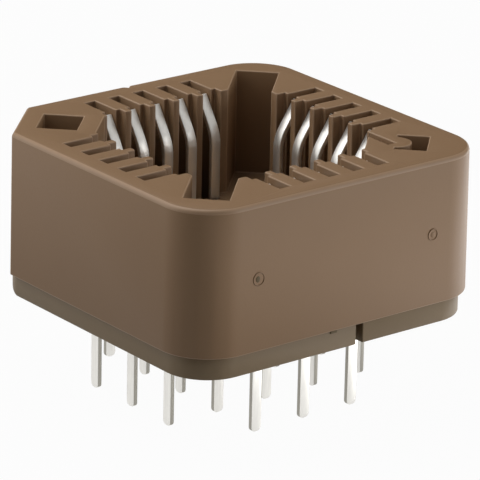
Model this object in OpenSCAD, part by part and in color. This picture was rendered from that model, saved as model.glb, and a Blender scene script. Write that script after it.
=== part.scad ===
// Through-hole socket for a 20-lead plastic chip carrier: a moulded housing, a base
// plate that closes it from below, and 20 formed strip contacts whose tails stand on a
// 2.54 mm grid. The origin is under the middle of the part, level with the tail tips.
// The housing's chamfered index corner points to -X -Y.

/* [Housing] */
// Width of the square housing at its top face
body_w = 15.24; // [14.8:0.02:17]
// Height of the housing, without the base plate
housing_h = 6.3; // [6:0.1:8]
// Draft of the outer walls: how much each side grows from top to bottom
wall_draft = 0.06; // [0:0.01:0.15]
// Radius of the three rounded corners, in plan
corner_r = 2.2; // [1.2:0.1:2.6]
// Leg of the index corner's chamfer
index_chamfer = 2.65; // [2:0.05:3]
// Radius of the fillet round the top face
top_fillet = 0.2; // [0.05:0.05:0.3]

/* [Well] */
// Distance from one row of fin noses to the opposite row
well_w = 9.44; // [9.2:0.02:9.7]
// Depth of the well's floor below the top face
well_depth = 4.7; // [4.2:0.1:5]
// Thickness of the floor
floor_t = 0.8; // [0.5:0.1:1]
// Thickness of the housing's wall round the space for the contacts' legs
skirt_t = 0.85; // [0.6:0.05:0.95]
// Distance from the centre to the corner blocks' slanted faces
corner_block_r = 5.6; // [5.4:0.05:5.9]
// Width of the slots that an extraction tool reaches into
tool_slot_w = 1.86; // [1.6:0.02:2]
// Distance from the centre to the outer end of a tool slot
tool_slot_r = 8.5; // [8:0.05:8.8]

/* [Contact slots and fins] */
// Distance from one contact to the next
pitch = 1.27; // [1.2:0.01:1.3]
// Width of a contact slot
slot_w = 0.55; // [0.52:0.01:0.65]
// Length of a contact slot, from the noses to its outer end
slot_l = 1.95; // [1.7:0.05:2.2]
// Width of the nose at a fin's inner end
nose_w = 0.32; // [0.25:0.01:0.5]
// Length of the nose
nose_l = 0.43; // [0.3:0.01:0.6]

/* [Corner pockets] */
// Width of both corner pockets, across the diagonal
pocket_w = 1.86; // [1.5:0.02:2]
// Distance from the centre to the pockets' outer ends
pocket_r = 8.14; // [7.9:0.02:8.2]
// Length of the index corner's pocket
index_pocket_l = 1.7; // [1.3:0.05:1.9]
// Length of the opposite corner's pocket
key_pocket_l = 1.34; // [1.1:0.02:1.6]
// How far the key boss stands into that pocket
key_boss = 0.67; // [0.4:0.01:0.8]
// Depth of both pockets
pocket_depth = 3; // [1.5:0.1:4]
// Length of the short groove in the key corner's block
groove_l = 1.3; // [0.8:0.05:1.6]
// Width and depth of that groove
groove_w = 0.4; // [0.3:0.05:0.5]

/* [Marks] */
// Width of the V notch in the top edge beside contact 1
pin1_notch_w = 0.5; // [0.3:0.05:0.8]
// Depth of the V notch
pin1_notch_d = 0.3; // [0.1:0.05:0.5]
// Height of the V notch
pin1_notch_h = 1; // [0.5:0.1:2]

/* [Base plate] */
// Thickness of the base plate
base_t = 1; // [0.8:0.05:1.5]
// Step from the housing's top width in to the base plate
base_inset = 0.22; // [0.1:0.01:0.4]
// Width of the notch in the base plate's edge
base_notch_w = 0.55; // [0.4:0.05:0.8]
// Depth of that notch
base_notch_d = 0.55; // [0.3:0.05:0.8]
// Distance of the notch from the middle of its side
base_notch_y = 0.88; // [0.5:0.01:1.5]

/* [Contacts] */
// Thickness of the contact strip
strip_t = 0.2; // [0.15:0.01:0.25]
// Width of the spring in its slot
spring_w = 0.46; // [0.36:0.01:0.5]
// Width of a tail
tail_w = 0.5; // [0.4:0.01:0.6]
// Length of a tail below the base plate
tail_l = 3.8; // [3:0.1:4.5]
// Distance from one row of contact bulges to the opposite row
contact_gap = 8.76; // [8.4:0.02:9]
// Depth of the bulges below the top face
bulge_depth = 1.85; // [1.5:0.05:2.2]
// How far the spring's upper end lies behind its bulge
tip_back = 1.02; // [0.8:0.02:1.2]
// Depth of the spring's upper end below the top face
tip_depth = 0.3; // [0.2:0.05:0.5]
// Inside radius of the strip's bends
bend_r = 0.12; // [0.08:0.01:0.2]
// Spacing of the tails' grid
grid = 2.54; // [2.5:0.01:2.6]
// Clearance on each side of a tail in the base plate
tail_clearance = 0.03; // [0.02:0.01:0.08]

/* [Hidden] */

per_side = 5;                       // contacts in a row
arc_steps = 6;                      // segments of a bend
base_z = tail_l;                    // underside of the base plate
seam_z = base_z + base_t;           // top of the base plate, underside of the housing
top_z = seam_z + housing_h;         // top face
floor_z = top_z - well_depth;       // top of the well's floor
recess_z = floor_z - floor_t;       // roof of the space for the contacts' legs
nose_r = well_w / 2;                // centre to the fin noses
slot_r = nose_r + slot_l;           // centre to the slots' outer ends
spring_r = contact_gap / 2 + strip_t / 2;   // centre to the strip's middle at the bulge
outer_r = 2 * grid;                 // centre to the outer rows of tails
inner_r = grid;                     // centre to the inner rows of tails
leg_z = seam_z + strip_t / 2;       // middle of the legs, which lie on the base plate
groove_y = nose_r - groove_w;       // groove's edge, in line with the fin noses
over = 0.1;                         // how far a cut runs past a face

// Housing outline in plan, moved inwards by inset
module outline(inset) {
    half = body_w / 2 - inset;
    r = corner_r - min(inset, corner_r / 2);
    leg = index_chamfer - inset * (2 - sqrt(2));
    hull() {
        for (p = [[1, -1], [1, 1], [-1, 1]])
            translate((half - r) * p) circle(r = r, $fn = 64);
        polygon([[-half, leg - half], [leg - half, -half], [0, 0]]);
    }
}

// Drafted block with a rounded top edge
module block() {
    steps = 4;
    hull() {
        translate([0, 0, seam_z]) linear_extrude(0.01) outline(-wall_draft);
        for (i = [0 : steps]) {
            a = 90 * i / steps;
            translate([0, 0, top_z - top_fillet + top_fillet * sin(a) - 0.01])
                linear_extrude(0.01) outline(top_fillet * (1 - cos(a)));
        }
    }
}

// Repeats a child for each side and each contact position of the side
module each_slot() {
    for (side = [0 : 3], j = [0 : per_side - 1])
        rotate(90 * side) translate([slot_x(j), 0]) children();
}

function slot_x(j) = (j - (per_side - 1) / 2) * pitch;

// Well in plan: a square with two corners cut off, and the two tool slots
module well() {
    intersection() {
        square(well_w, center = true);
        rotate(45) square([2 * corner_block_r, 2 * well_w], center = true);
    }
    rotate(-45) square([2 * tool_slot_r, tool_slot_w], center = true);
}

// Slots and the wider mouths between the noses, in plan
module slots() {
    inner = contact_gap / 2 - strip_t / 2;
    each_slot() {
        translate([-slot_w / 2, -slot_r]) square([slot_w, slot_r - inner]);
        translate([nose_w / 2 - pitch / 2, -nose_r - nose_l])
            square([pitch - nose_w, nose_l + over]);
    }
}

// Pockets in the corners beside the index chamfer and opposite it
module pockets() {
    rotate(225) translate([pocket_r - index_pocket_l, -pocket_w / 2])
        square([index_pocket_l, pocket_w]);
    rotate(45) difference() {
        translate([pocket_r - key_pocket_l, -pocket_w / 2]) square([key_pocket_l, pocket_w]);
        translate([pocket_r - key_pocket_l, 0]) circle(r = key_boss, $fn = 48);
    }
}

module housing() {
    color("#866d56") difference() {
        block();
        translate([0, 0, floor_z]) linear_extrude(well_depth + over) well();
        translate([0, 0, seam_z - over]) linear_extrude(housing_h + 2 * over) slots();
        translate([0, 0, top_z - pocket_depth]) linear_extrude(pocket_depth + over) pockets();
        translate([0, 0, seam_z - over]) linear_extrude(recess_z - seam_z + over)
            outline(skirt_t);
        translate([corner_block_r * sqrt(2) - groove_y - groove_w, groove_y, top_z - groove_w])
            cube([groove_l + groove_w, groove_w, groove_w + over]);
        translate([-body_w / 2, 0, top_z - pin1_notch_h]) linear_extrude(pin1_notch_h + over)
            polygon([[pin1_notch_d, 0], [-over, pin1_notch_w / 2 + over],
                [-over, -pin1_notch_w / 2 - over]]);
    }
}

// Windows for the tails in plan, each reaching further by lead on its leg's side
module tail_windows(lead) {
    w = tail_w + 2 * tail_clearance;
    t = strip_t / 2 + tail_clearance;
    for (side = [0 : 3], j = [0 : per_side - 1])
        rotate(90 * side) translate(tail_place(j)) mirror([0, j % 2, 0])
            translate([-w / 2, -t]) square([w, 2 * t + lead]);
}

// Place of a tail in plan, for a contact of the side that faces -Y
function tail_place(j) = j % 2 == 0
    ? [slot_x(j) * outer_r / (4 * pitch), -outer_r]
    : [slot_x(j) - pitch, -inner_r];

module base() {
    lead = bend_r + tail_clearance;     // relief under the bend between leg and tail
    color("#6b5c46") difference() {
        translate([0, 0, base_z]) linear_extrude(base_t) outline(base_inset);
        translate([0, 0, base_z - over]) linear_extrude(base_t + 2 * over) {
            tail_windows(0);
            translate([body_w / 2 - base_inset - base_notch_d + base_notch_w / 2, base_notch_y]) {
                circle(d = base_notch_w, $fn = 48);
                translate([0, -base_notch_w / 2]) square([base_notch_d, base_notch_w]);
            }
        }
        translate([0, 0, seam_z - lead]) linear_extrude(lead + over) tail_windows(lead);
    }
}

// Points of a bent centre line: each inner corner of the path becomes an arc of radius r
function bent(path, r) = [
    path[0],
    for (i = [1 : len(path) - 2])
        let (a = unit(path[i - 1] - path[i]), b = unit(path[i + 1] - path[i]),
            half = acos(a * b) / 2, d = r / tan(half),
            c = path[i] + unit(a + b) * r / sin(half),
            s = path[i] + a * d - c, e = path[i] + b * d - c,
            turn = 180 - 2 * half, way = s[0] * e[1] - s[1] * e[0] > 0 ? 1 : -1)
        for (k = [0 : arc_steps]) c + spun(s, way * turn * k / arc_steps),
    path[len(path) - 1]];
function unit(v) = v / norm(v);
function spun(v, a) = [v[0] * cos(a) - v[1] * sin(a), v[0] * sin(a) + v[1] * cos(a)];

// Unit normal of a line of points at point i
function normal(p, i) =
    let (d = unit(p[min(i + 1, len(p) - 1)] - p[max(i - 1, 0)])) [-d[1], d[0]];

// Strip of thickness strip_t along a centre line, as a flat shape
module strip(path) {
    line = bent(path, bend_r + strip_t / 2);
    n = len(line) - 1;
    polygon([
        for (i = [0 : n]) line[i] + normal(line, i) * strip_t / 2,
        for (i = [n : -1 : 0]) line[i] - normal(line, i) * strip_t / 2]);
}

// Strip seen from the end of its row: [distance from the centre, height], width w, facing -Y
module formed(path, w) {
    rotate([90, 0, -90]) translate([0, 0, -w / 2]) linear_extrude(w) strip(path);
}

// Face of a tail: straight, with a rounded tip
module tail_face() {
    r = tail_w * 0.4;
    translate([0, r]) {
        for (x = [-1, 1]) translate([x * (tail_w / 2 - r), 0]) circle(r = r, $fn = 32);
        translate([r - tail_w / 2, -r]) square([tail_w - 2 * r, r]);
        translate([-tail_w / 2, 0]) square([tail_w, seam_z + strip_t - r]);
    }
}

// Tail with a leg that reaches it along the base plate, from distance from_r
module tail(from_r, to_r) {
    intersection() {
        formed([[from_r, leg_z], [to_r, leg_z], [to_r, 0]], tail_w);
        translate([0, body_w / 2 - over, 0]) rotate([90, 0, 0])
            linear_extrude(2 * body_w) tail_face();
    }
}

// Spring, from its tucked-in upper end over the bulge and down to the leg
module spring(to_r) {
    formed([[spring_r + tip_back, top_z - tip_depth], [spring_r, top_z - bulge_depth],
        [spring_r, leg_z], [to_r, leg_z]], spring_w);
}

// Contact of the side that faces -Y, at position j of its row
module row_contact(j) {
    place = tail_place(j);
    leg = pitch / 2;
    if (j % 2 == 0) {
        translate([slot_x(j), 0, 0]) {
            spring((spring_r + outer_r) / 2);
            tail((spring_r + outer_r) / 2, outer_r);
        }
    } else {
        start = spring_r - leg;
        end = inner_r + leg;
        translate([slot_x(j), 0, 0]) spring(start);
        translate([place[0], 0, 0]) tail(end, inner_r);
        translate([0, 0, seam_z]) linear_extrude(strip_t) polygon([
            [slot_x(j) - spring_w / 2, -start], [slot_x(j) + spring_w / 2, -start],
            [place[0] + tail_w / 2, -end], [place[0] - tail_w / 2, -end]]);
    }
}

// Contact number n, counted counter-clockwise from the middle of the -X side
module contact(n) {
    u = (n + floor(per_side / 2) - 1) % (4 * per_side);
    color("#cdc6b9") rotate(90 * ((floor(u / per_side) + 3) % 4)) row_contact(u % per_side);
}

housing();
base();
for (n = [1 : 4 * per_side])
    contact(n);
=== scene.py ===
# %% [markdown]
# # A through-hole socket for a chip carrier
# A moulded brown housing sits on a darker base plate, and twenty springs of tinned strip
# stand in its comb of slots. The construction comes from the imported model, which holds
# every size. This notebook gives each piece its finish: softened edges, moulded plastic
# with a faint grain, and matt tin. Everything is in metres, in the model's own frame.

# %% Load the frame
import math

import bpy
from mathutils import Matrix, Vector


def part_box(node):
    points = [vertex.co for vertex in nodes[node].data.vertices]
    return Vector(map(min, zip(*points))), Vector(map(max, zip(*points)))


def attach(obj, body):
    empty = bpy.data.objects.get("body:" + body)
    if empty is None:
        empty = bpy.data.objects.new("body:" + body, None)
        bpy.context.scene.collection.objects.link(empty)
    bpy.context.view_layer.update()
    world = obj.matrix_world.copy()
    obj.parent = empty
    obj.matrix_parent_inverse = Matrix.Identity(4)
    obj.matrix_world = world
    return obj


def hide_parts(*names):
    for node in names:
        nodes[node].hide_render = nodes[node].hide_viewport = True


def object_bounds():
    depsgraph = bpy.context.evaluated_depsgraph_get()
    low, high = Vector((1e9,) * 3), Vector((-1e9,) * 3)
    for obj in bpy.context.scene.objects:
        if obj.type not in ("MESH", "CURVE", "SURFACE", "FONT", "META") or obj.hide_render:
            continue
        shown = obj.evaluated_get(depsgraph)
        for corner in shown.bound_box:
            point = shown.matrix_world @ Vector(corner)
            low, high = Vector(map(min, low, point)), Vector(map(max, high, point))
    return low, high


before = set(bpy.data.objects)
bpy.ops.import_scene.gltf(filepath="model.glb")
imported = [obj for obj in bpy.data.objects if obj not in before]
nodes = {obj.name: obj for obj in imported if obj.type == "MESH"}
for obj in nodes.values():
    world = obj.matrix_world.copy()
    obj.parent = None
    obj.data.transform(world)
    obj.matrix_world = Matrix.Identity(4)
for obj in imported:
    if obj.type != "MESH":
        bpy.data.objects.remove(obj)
cad_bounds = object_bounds()
print("nodes:", len(nodes), "box:", cad_bounds)

# %% [markdown]
# ## Sizes that several steps share
# The housing's box gives the top face, the walls and the seam, and the base's box gives the
# base's wall. `MOULDED_EDGE` is how far a moulded edge is rounded, and `STRIP_EDGE` and
# `NIB_EDGE` do the same for the contacts and the small nib. One millimetre is written once
# as `MM`, so that every later size reads the way it would on a drawing.

# %% Shared sizes
MM = 0.001
housing_low, housing_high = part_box("housing")
TOP_Z = housing_high.z
SEAM_Z = housing_low.z
HALF = housing_high.x
BASE_WALL_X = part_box("base")[1].x
MOULDED_EDGE = 0.05 * MM
STRIP_EDGE = 0.025 * MM
NIB_EDGE = 0.015 * MM
print("top", round(TOP_Z / MM, 2), "seam", round(SEAM_Z / MM, 2), "half width", round(HALF / MM, 2))

# %% [markdown]
# ## Working on copies
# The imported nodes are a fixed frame: their meshes stay as they are. A piece that needs
# softer edges is a copy of its node. An operator acts on everything that is selected, so
# each step first clears the selection and then picks only its own object.

# %% Helpers for selecting and copying
MERGE_REACH = 0.0005 * MM
FLAT_ANGLE = math.radians(2)


def pick(piece):
    """Makes piece the only selected and active object."""
    bpy.ops.object.select_all(action="DESELECT")
    piece.select_set(True)
    bpy.context.view_layer.objects.active = piece


def copy_node(node, name):
    """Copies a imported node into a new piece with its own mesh, and joins its loose triangles."""
    pick(nodes[node])
    bpy.ops.object.duplicate(linked=False)
    piece = bpy.context.view_layer.objects.active
    piece.parent = None
    for key in list(piece.keys()):
        del piece[key]
    piece.name = name
    piece.data.name = name
    piece.data.materials.clear()
    pick(piece)
    bpy.ops.object.mode_set(mode="EDIT")
    bpy.ops.mesh.select_mode(type="VERT")
    bpy.ops.mesh.select_all(action="SELECT")
    bpy.ops.mesh.remove_doubles(threshold=MERGE_REACH)
    bpy.ops.mesh.dissolve_limited(angle_limit=FLAT_ANGLE)
    bpy.ops.object.mode_set(mode="OBJECT")
    return piece


def soften(piece, width, segments, angle, finish, highlight_finish=None):
    """Rounds every edge sharper than angle degrees; the new rims get a second, paler material if there is
    one: a painted highlight.
    """
    pick(piece)
    bpy.ops.object.shade_smooth()
    piece.data.materials.append(finish)
    bevel = piece.modifiers.new("soft edges", "BEVEL")
    if highlight_finish:
        piece.data.materials.append(highlight_finish)
        bevel.material = 1
    bevel.width = width
    bevel.segments = segments
    bevel.limit_method = "ANGLE"
    bevel.angle_limit = math.radians(angle)
    bevel.use_clamp_overlap = False
    bevel.harden_normals = True
    bpy.ops.object.modifier_apply(modifier=bevel.name)
    print(piece.name, "faces:", len(piece.data.polygons))


# %% [markdown]
# ## Nudging a corner
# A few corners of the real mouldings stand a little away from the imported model's. `slide`
# moves the corners of a mesh that lie inside a box, along one direction, and leaves all the
# others where they are. `round_uprights` rounds the vertical edges inside a box with a wide
# bevel. Both work on a copy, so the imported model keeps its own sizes.

# %% Helpers for corners
def inside(point, low, high):
    """True if a point in metres lies in a box given in millimetres."""
    return all(a * MM <= c <= b * MM for a, c, b in zip(low, point, high))


def shift(piece, chosen, step):
    """Moves the vertices whose numbers are in chosen by step, in metres."""
    pick(piece)
    for vertex in piece.data.vertices:
        vertex.select = vertex.index in chosen
    for part in (*piece.data.edges, *piece.data.polygons):
        part.select = all(i in chosen for i in part.vertices)
    bpy.ops.object.mode_set(mode="EDIT")
    bpy.ops.transform.translate(value=step)
    bpy.ops.object.mode_set(mode="OBJECT")


def slide(piece, low, high, step):
    """Moves every vertex inside the box by step, all in millimetres."""
    chosen = {v.index for v in piece.data.vertices if inside(v.co, low, high)}
    shift(piece, chosen, Vector(step) * MM)


def round_uprights(piece, low, high, radius):
    """Bevels the upright edges whose ends lie inside the box; returns how many there were."""
    pick(piece)
    vertices = piece.data.vertices
    for vertex in vertices:
        vertex.select = False
    for face in piece.data.polygons:
        face.select = False
    found = 0
    for edge in piece.data.edges:
        a, b = (vertices[i].co for i in edge.vertices)
        run = b - a
        edge.select = inside(a, low, high) and inside(b, low, high) and abs(run.z) > 0.9 * run.length
        found += edge.select
    bpy.ops.object.mode_set(mode="EDIT")
    bpy.ops.mesh.select_mode(type="EDGE")
    bpy.ops.mesh.bevel(offset=radius * MM, segments=5, affect="EDGES")
    bpy.ops.object.mode_set(mode="OBJECT")
    return found


# %% [markdown]
# ## Moulded plastic
# The real housing is glass-filled plastic straight from the mould. Its surface is matt and
# even, with a fine grain from the tool and slow, faint changes of tone where the melt
# flowed. Two noises give these: a wide one for the tone and a tight one for the grain. The
# rims of the housing get a paler finish of their own, which is a painted highlight.

# %% Plastic material
def noise(tree, place, scale, detail, location):
    """Adds a noise texture at the coordinates of a socket; scale is in waves per millimetre."""
    node = tree.nodes.new("ShaderNodeTexNoise")
    node.location = location
    node.inputs["Scale"].default_value = scale / MM
    node.inputs["Detail"].default_value = detail
    tree.links.new(place, node.inputs["Vector"])
    return node


def tone_between(tree, factor, low, high, location):
    """Mixes two colours by a factor socket."""
    mix = tree.nodes.new("ShaderNodeMix")
    mix.data_type = "RGBA"
    mix.location = location
    mix.inputs["A"].default_value = (*low, 1)
    mix.inputs["B"].default_value = (*high, 1)
    tree.links.new(factor, mix.inputs["Factor"])
    return mix


def moulded_plastic(name, low, high, roughness):
    """Matt plastic whose tone drifts between low and high."""
    material = bpy.data.materials.new(name)
    material.use_nodes = True
    tree = material.node_tree
    shader = tree.nodes["Principled BSDF"]
    shader.inputs["Specular IOR Level"].default_value = 0.3
    coords = tree.nodes.new("ShaderNodeTexCoord")
    coords.location = (-1100, 0)
    flow = noise(tree, coords.outputs["Object"], 0.35, 3, (-850, 200))
    speck = noise(tree, coords.outputs["Object"], 9, 2, (-850, -50))
    tone = tone_between(tree, flow.outputs["Fac"], low, high, (-450, 250))
    tree.links.new(tone.outputs["Result"], shader.inputs["Base Color"])
    rough = tree.nodes.new("ShaderNodeMapRange")
    rough.location = (-450, 0)
    rough.inputs["To Min"].default_value = roughness - 0.05
    rough.inputs["To Max"].default_value = roughness + 0.05
    tree.links.new(speck.outputs["Fac"], rough.inputs["Value"])
    tree.links.new(rough.outputs["Result"], shader.inputs["Roughness"])
    bump = tree.nodes.new("ShaderNodeBump")
    bump.location = (-250, -250)
    bump.inputs["Strength"].default_value = 0.12
    bump.inputs["Distance"].default_value = 0.02 * MM
    tree.links.new(speck.outputs["Fac"], bump.inputs["Height"])
    tree.links.new(bump.outputs["Normal"], shader.inputs["Normal"])
    return material


HOUSING_BROWN = moulded_plastic("housing brown", (0.242, 0.145, 0.076), (0.262, 0.159, 0.084), 0.5)
# A paler copy of the housing plastic for its rims: painted highlight.
HOUSING_HIGHLIGHT_RIM = moulded_plastic("housing rim", (0.330, 0.215, 0.130), (0.365, 0.240, 0.148), 0.45)
BASE_OLIVE = moulded_plastic("base olive", (0.200, 0.142, 0.080), (0.220, 0.156, 0.090), 0.5)
print("plastics:", HOUSING_BROWN.name, HOUSING_HIGHLIGHT_RIM.name, BASE_OLIVE.name)

# %% [markdown]
# ## Tinned strip
# The contacts are stamped from thin copper alloy strip and plated with matt tin. Rolling
# leaves fine lines along the strip and the plating breaks them up, so the reflection is
# soft and slightly uneven. The narrow faces of the tails get a darker tin, which is painted
# shade.

# %% Tin material
def tin(name, tint, roughness):
    """Matt tin plating with a fine mottle, drawn out along the upright strip."""
    material = bpy.data.materials.new(name)
    material.use_nodes = True
    tree = material.node_tree
    shader = tree.nodes["Principled BSDF"]
    shader.inputs["Metallic"].default_value = 0.85
    coords = tree.nodes.new("ShaderNodeTexCoord")
    coords.location = (-1100, 0)
    drawn_out = tree.nodes.new("ShaderNodeMapping")
    drawn_out.location = (-950, 100)
    drawn_out.inputs["Scale"].default_value = (1, 1, 0.12)
    tree.links.new(coords.outputs["Object"], drawn_out.inputs["Vector"])
    mottle = noise(tree, drawn_out.outputs["Vector"], 9, 3, (-750, 100))
    tone = tone_between(tree, mottle.outputs["Fac"], [0.80 * c for c in tint], tint, (-450, 250))
    tree.links.new(tone.outputs["Result"], shader.inputs["Base Color"])
    rough = tree.nodes.new("ShaderNodeMapRange")
    rough.location = (-450, 0)
    rough.inputs["To Min"].default_value = roughness - 0.08
    rough.inputs["To Max"].default_value = roughness + 0.08
    tree.links.new(mottle.outputs["Fac"], rough.inputs["Value"])
    tree.links.new(rough.outputs["Result"], shader.inputs["Roughness"])
    bump = tree.nodes.new("ShaderNodeBump")
    bump.location = (-250, -250)
    bump.inputs["Strength"].default_value = 0.1
    bump.inputs["Distance"].default_value = 0.01 * MM
    tree.links.new(mottle.outputs["Fac"], bump.inputs["Height"])
    tree.links.new(bump.outputs["Normal"], shader.inputs["Normal"])
    return material


TIN = tin("matt tin", (0.96, 0.94, 0.89), 0.42)
# A darker tin for the narrow faces of the tails: painted shade.
NARROW_FACE_SHADE = tin("painted_shade edge", (0.42, 0.40, 0.35), 0.45)
print("metals:", TIN.name, NARROW_FACE_SHADE.name)

# %% [markdown]
# ## The housing
# A real moulding has no knife edges: the tool's corners are worn and the melt shrinks. A
# narrow bevel on every edge catches the light the way the real rims do. It is cut on a
# copy of the imported housing, which stays underneath for the physics. Two slides first make
# the chamfer of the index corner a little shorter. The bevels and the fillet round the top
# face get the paler rim finish, a painted highlight along the edges.

# %% Housing
CHAMFER_SLIDE = 0.19
FILLET_DEPTH = 0.21 * MM
HIGHLIGHT_RIM_SLOT = 1

housing = copy_node("housing", "housing_moulding")
slide(housing, (-5.0, -8, 4), (-4.7, -7.2, 12), (-CHAMFER_SLIDE, 0, 0))
slide(housing, (-8, -5.0, 4), (-7.2, -4.7, 12), (0, -CHAMFER_SLIDE, 0))
soften(housing, MOULDED_EDGE, 2, 28, HOUSING_BROWN, HOUSING_HIGHLIGHT_RIM)
# The top fillet's faces take the paler rim material too: painted highlight.
for face in housing.data.polygons:
    if face.center.z > TOP_Z - FILLET_DEPTH and 0.15 < face.normal.z < 0.97:
        face.material_index = HIGHLIGHT_RIM_SLOT
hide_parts("housing")
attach(housing, "root")

# %% [markdown]
# ## Gate marks
# One wall carries two small round marks. They are taken for the scars of the gates, where
# the melt enters the mould: a faint raised ring, with the torn stub of the gate in its
# middle. The left one shows a darker core. A thin torus and a flattened sphere are enough.

# %% Gate marks
GATE_Z = TOP_Z - 3.2 * MM
GATE_WALL_X = HALF - 0.03 * MM
RING_THICKNESS = 0.03 * MM


def gate_ring(name, y, radius):
    """A thin ring round a gate, half sunk in the +X wall."""
    bpy.ops.object.select_all(action="DESELECT")
    bpy.ops.mesh.primitive_torus_add(major_radius=radius, minor_radius=RING_THICKNESS,
                                     major_segments=32, minor_segments=8,
                                     location=(GATE_WALL_X, y, GATE_Z),
                                     rotation=(0, math.radians(90), 0))
    ring = bpy.context.view_layer.objects.active
    bpy.ops.object.transform_apply(location=True, rotation=True, scale=True)
    bpy.ops.object.shade_smooth()
    ring.name = name
    ring.data.materials.append(HOUSING_BROWN)
    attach(ring, "root")
    print(name, "radius", round(radius / MM, 2), "mm")


def gate_stub(name, y, radius, material):
    """The flattened dome of plastic left where the gate tore off."""
    bpy.ops.object.select_all(action="DESELECT")
    bpy.ops.mesh.primitive_uv_sphere_add(segments=24, ring_count=12, radius=radius,
                                         location=(GATE_WALL_X, y, GATE_Z),
                                         scale=(0.2, 1, 1.25))
    stub = bpy.context.view_layer.objects.active
    bpy.ops.object.transform_apply(location=True, rotation=True, scale=True)
    bpy.ops.object.shade_smooth()
    stub.name = name
    stub.data.materials.append(material)
    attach(stub, "root")
    print(name, "radius", round(radius / MM, 2), "mm")


# Dark plastic for the left gate's stub, and for the latch nib, where it is painted shade.
GATE_CORE_AND_LATCH_SHADE = moulded_plastic("gate core", (0.090, 0.062, 0.026), (0.120, 0.085, 0.040), 0.6)
gate_ring("gate_ring_left", -4.55 * MM, 0.27 * MM)
gate_stub("gate_stub_left", -4.60 * MM, 0.11 * MM, GATE_CORE_AND_LATCH_SHADE)
gate_ring("gate_ring_right", 4.55 * MM, 0.24 * MM)
gate_stub("gate_stub_right", 4.55 * MM, 0.10 * MM, HOUSING_BROWN)

# %% [markdown]
# ## The base plate
# The base is a separate moulding in a darker, greener brown. Its corner under the index
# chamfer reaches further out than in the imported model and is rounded, and its notch is a
# little narrower. Slides and a wide bevel make both changes on the copy, and the edges are
# then softened like the housing's.

# %% Base plate
BASE_SLIDE = 0.62
BASE_CORNER = 0.35
NOTCH_SLIDE = 0.2

base = copy_node("base", "base_plate")
slide(base, (-4.95, -8, 3), (-4.8, -7.2, 5), (-BASE_SLIDE, 0, 0))
slide(base, (-8, -4.95, 3), (-7.2, -4.8, 5), (0, -BASE_SLIDE, 0))
print("rounded uprights:", round_uprights(base, (-8, -8, 3), (-5, -5, 5), BASE_CORNER))
slide(base, (6.5, 0.55, 3), (7.5, 0.66, 5), (0, NOTCH_SLIDE, 0))
soften(base, MOULDED_EDGE, 2, 28, BASE_OLIVE)
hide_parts("base")
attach(base, "root")

# %% [markdown]
# ## The latch
# A small dark mark sits on the base just under the seam, beside the notch. It is taken for
# the shadowed end of a nib that snaps the two mouldings together, which is a guess. A small
# block with softened edges in the dark gate-core plastic stands for it: its dark colour is
# painted shade.

# %% Latch nib
bpy.ops.object.select_all(action="DESELECT")
bpy.ops.mesh.primitive_cube_add(size=MM, location=(BASE_WALL_X, -0.42 * MM, SEAM_Z - 0.16 * MM),
                                scale=(0.1, 0.34, 0.1))
nib_shade_block = bpy.context.view_layer.objects.active
bpy.ops.object.transform_apply(location=True, rotation=True, scale=True)
nib_shade_block.name = "latch_nib_shade"
# The nib gets the dark gate-core plastic: painted shade under the seam.
soften(nib_shade_block, NIB_EDGE, 2, 40, GATE_CORE_AND_LATCH_SHADE)
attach(nib_shade_block, "root")

# %% [markdown]
# ## The contacts
# Stamping rounds one side of each strip and leaves a burr on the other. At this size both
# read as one soft edge, so each of the twenty contacts gets a fine bevel of its own. The
# forming tool also bends the spring over a wide radius where it bulges into the well. The
# copy is sliced level nine times round that bend, and each ring is moved onto a smooth arc.

# %% Contacts
BULGE_Z = TOP_Z - 1.85 * MM
BEND_REACH = 0.45 * MM
RINGS = 4


def section(spring, level, along):
    """Middle and half thickness of the strip where it is cut level."""
    values = [v.co[along] for v in spring.data.vertices if abs(v.co.z - level) < 0.001 * MM]
    return (max(values) + min(values)) / 2, (max(values) - min(values)) / 2


def relax_bend(spring, along):
    """Turns the tight bend at the bulge into a wide arc. along is the axis the spring leans in."""
    pick(spring)
    bpy.ops.object.mode_set(mode="EDIT")
    for k in range(-RINGS, RINGS + 1):
        bpy.ops.mesh.select_all(action="SELECT")
        level = BULGE_Z + BEND_REACH * k / RINGS
        bpy.ops.mesh.bisect(plane_co=(0, 0, level), plane_no=(0, 0, 1))
    bpy.ops.object.mode_set(mode="OBJECT")
    foot, foot_half = section(spring, BULGE_Z - BEND_REACH, along)
    head, head_half = section(spring, BULGE_Z + BEND_REACH, along)
    moves = {}
    for vertex in spring.data.vertices:
        rise = vertex.co.z - BULGE_Z
        if abs(rise) < BEND_REACH * 0.999:
            straight = foot + (head - foot) * max(0, rise) / BEND_REACH
            share = (rise + BEND_REACH) / (2 * BEND_REACH)
            half = foot_half + (head_half - foot_half) * share
            side = 1 if vertex.co[along] > straight else -1
            wanted = foot + (head - foot) * share * share + side * half
            moves.setdefault(round((wanted - vertex.co[along]) / MM, 4), set()).add(vertex.index)
    for distance, chosen in moves.items():
        step = Vector((0, 0, 0))
        step[along] = distance * MM
        shift(spring, chosen, step)


for node in sorted(nodes):
    if node.startswith("contact_"):
        spring = copy_node(node, "spring_" + node[-2:])
        low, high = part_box(node)
        centre = (low + high) / 2
        lean_axis = 0 if abs(centre.x) > abs(centre.y) else 1
        relax_bend(spring, lean_axis)
        soften(spring, STRIP_EDGE, 2, 40, TIN)
        # The narrow faces of the tails below the seam take the darker tin: painted shade.
        spring.data.materials.append(NARROW_FACE_SHADE)
        across = 1 - lean_axis
        for face in spring.data.polygons:
            face.material_index = int(abs(face.normal[across]) > 0.8 and face.center.z < SEAM_Z)
        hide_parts(node)
        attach(spring, "root")

# %% [markdown]
# ## The stage
# The socket stands on its tails on a pale floor. The floor shows nearly white to the camera
# and in reflections, and a small share of it still takes the object's soft shadow. Mirrored
# in the tin it is brighter on the right, which lifts the tails on that side.

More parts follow.
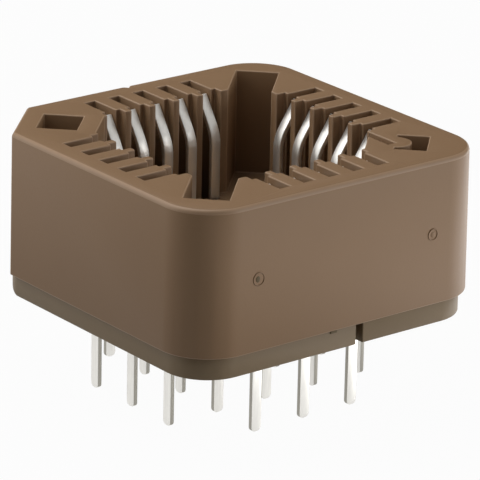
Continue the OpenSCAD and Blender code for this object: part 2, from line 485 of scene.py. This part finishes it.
# %% Floor and background
def white_to_camera(name, colour, shadow_share, left_glow, right_glow):
    """A pale surface that glows to the camera, and in reflections from left_glow to right_glow."""
    material = bpy.data.materials.new(name)
    material.use_nodes = True
    tree = material.node_tree
    shader = tree.nodes["Principled BSDF"]
    shader.inputs["Base Color"].default_value = (*colour, 1)
    shader.inputs["Roughness"].default_value = 0.9
    glow = tree.nodes.new("ShaderNodeEmission")
    glow.inputs["Color"].default_value = (0.998, 0.998, 0.998, 1)
    rays = tree.nodes.new("ShaderNodeLightPath")
    seen = tree.nodes.new("ShaderNodeMath")
    seen.operation = "MULTIPLY"
    seen.inputs[1].default_value = 1 - shadow_share
    either = tree.nodes.new("ShaderNodeMath")
    either.operation = "MAXIMUM"
    tree.links.new(rays.outputs["Is Camera Ray"], either.inputs[0])
    tree.links.new(rays.outputs["Is Glossy Ray"], either.inputs[1])
    coords = tree.nodes.new("ShaderNodeTexCoord")
    across = tree.nodes.new("ShaderNodeVectorMath")
    across.operation = "DOT_PRODUCT"
    across.inputs[1].default_value = (0.78, 0.62, 0)
    tree.links.new(coords.outputs["Object"], across.inputs[0])
    bright = tree.nodes.new("ShaderNodeMapRange")
    bright.interpolation_type = "SMOOTHSTEP"
    bright.inputs["From Min"].default_value = 8 * MM
    bright.inputs["From Max"].default_value = 20 * MM
    bright.inputs["To Min"].default_value = left_glow
    bright.inputs["To Max"].default_value = right_glow
    tree.links.new(across.outputs["Value"], bright.inputs["Value"])
    strength = tree.nodes.new("ShaderNodeMix")
    strength.inputs["B"].default_value = 1.0
    tree.links.new(rays.outputs["Is Camera Ray"], strength.inputs["Factor"])
    tree.links.new(bright.outputs["Result"], strength.inputs["A"])
    tree.links.new(strength.outputs["Result"], glow.inputs["Strength"])
    tree.links.new(either.outputs["Value"], seen.inputs[0])
    mix = tree.nodes.new("ShaderNodeMixShader")
    tree.links.new(seen.outputs["Value"], mix.inputs["Fac"])
    tree.links.new(shader.outputs["BSDF"], mix.inputs[1])
    tree.links.new(glow.outputs["Emission"], mix.inputs[2])
    tree.links.new(mix.outputs["Shader"], tree.nodes["Material Output"].inputs["Surface"])
    return material


bpy.ops.object.select_all(action="DESELECT")
bpy.ops.mesh.primitive_plane_add(size=1.2, location=(0, 0, 0))
floor = bpy.context.view_layer.objects.active
floor.name = "floor"
floor.data.materials.append(white_to_camera("pale floor", (0.3, 0.3, 0.3), 0.03, 1.02, 3.6))
print("floor width", round(floor.dimensions.x, 2), "m")

# %% [markdown]
# ## The backdrop
# Behind the floor there is only the world. It shows nearly white to the camera, and lights
# the scene with no more than a faint ambient glow, so that the lamps do the shaping.

# %% Backdrop
scene = bpy.context.scene
world = bpy.data.worlds.new("studio")
world.use_nodes = True
scene.world = world
sky = world.node_tree
rays = sky.nodes.new("ShaderNodeLightPath")
seen = sky.nodes.new("ShaderNodeMath")
seen.operation = "MAXIMUM"
sky.links.new(rays.outputs["Is Camera Ray"], seen.inputs[0])
sky.links.new(rays.outputs["Is Transmission Ray"], seen.inputs[1])
ambient = sky.nodes["Background"]
ambient.inputs["Color"].default_value = (1, 1, 1, 1)
ambient.inputs["Strength"].default_value = 0.04
backdrop = sky.nodes.new("ShaderNodeBackground")
backdrop.inputs["Color"].default_value = (0.984, 0.984, 0.984, 1)
backdrop.inputs["Strength"].default_value = 1.0
mix = sky.nodes.new("ShaderNodeMixShader")
sky.links.new(seen.outputs["Value"], mix.inputs["Fac"])
sky.links.new(ambient.outputs["Background"], mix.inputs[1])
sky.links.new(backdrop.outputs["Background"], mix.inputs[2])
sky.links.new(mix.outputs["Shader"], sky.nodes["World Output"].inputs["Surface"])

# %% [markdown]
# ## Light
# Four large soft lamps stand round the socket, as in a product tent: one left of the camera,
# two on the right, of which the lower one is almost level with the base, and one above. No
# lamp stands beside the camera, which is why the rounded corner that faces the viewer is the
# darkest stretch of wall.

# %% Lamps
def soft_light(name, direction, distance, size, radiance):
    """A square area lamp that looks at the housing's middle. radiance is its brightness."""
    target = Vector((0, 0, (TOP_Z + SEAM_Z) / 2))
    place = target + Vector(direction).normalized() * distance
    lamp = bpy.data.lights.new(name, "AREA")
    lamp.size = size
    lamp.energy = radiance * math.pi * size * size
    holder = bpy.data.objects.new(name, lamp)
    scene.collection.objects.link(holder)
    holder.location = place
    holder.visible_camera = False
    holder.rotation_euler = (target - place).to_track_quat("-Z", "Y").to_euler()
    print(name, "power", round(lamp.energy, 4), "W")


soft_light("left light", (-0.68, -0.74, 0.45), 0.15, 0.16, 1.6)
soft_light("right light", (0.75, 0.65, 0.55), 0.15, 0.20, 0.55)
soft_light("low right light", (0.76, 0.65, 0.06), 0.14, 0.08, 4.2)
soft_light("top light", (-0.35, -0.10, 0.9), 0.16, 0.14, 3.1)

# %% [markdown]
# ## Camera
# A long lens from a little above, turned so that the chamfered index corner points left.

# %% Camera
VIEW_AZIMUTH = math.radians(-38.33)
VIEW_ELEVATION = math.radians(20.03)
VIEW_ROLL = math.radians(1.25)
VIEW_DISTANCE = 0.164
LENS_MM = 291.4
SENSOR_MM = 36

low, high = cad_bounds
middle = (Vector(low) + Vector(high)) / 2
aim = middle + Vector((-0.24, 0.68, 0.55)) * MM
towards = Vector((math.cos(VIEW_ELEVATION) * math.cos(VIEW_AZIMUTH),
                  math.cos(VIEW_ELEVATION) * math.sin(VIEW_AZIMUTH),
                  math.sin(VIEW_ELEVATION)))
camera_data = bpy.data.cameras.new("camera")
camera_data.lens = LENS_MM
camera_data.sensor_width = SENSOR_MM
camera_data.clip_start = 0.01
camera_data.clip_end = 5
camera = bpy.data.objects.new("camera", camera_data)
scene.collection.objects.link(camera)
level = towards.to_track_quat("Z", "Y").to_matrix().to_4x4()
place = Matrix.Translation(aim + towards * VIEW_DISTANCE)
camera.matrix_world = place @ level @ Matrix.Rotation(VIEW_ROLL, 4, "Z")
scene.camera = camera
scene.view_settings.view_transform = "Standard"
print("camera at", [round(c / MM, 1) for c in camera.matrix_world.translation], "mm")
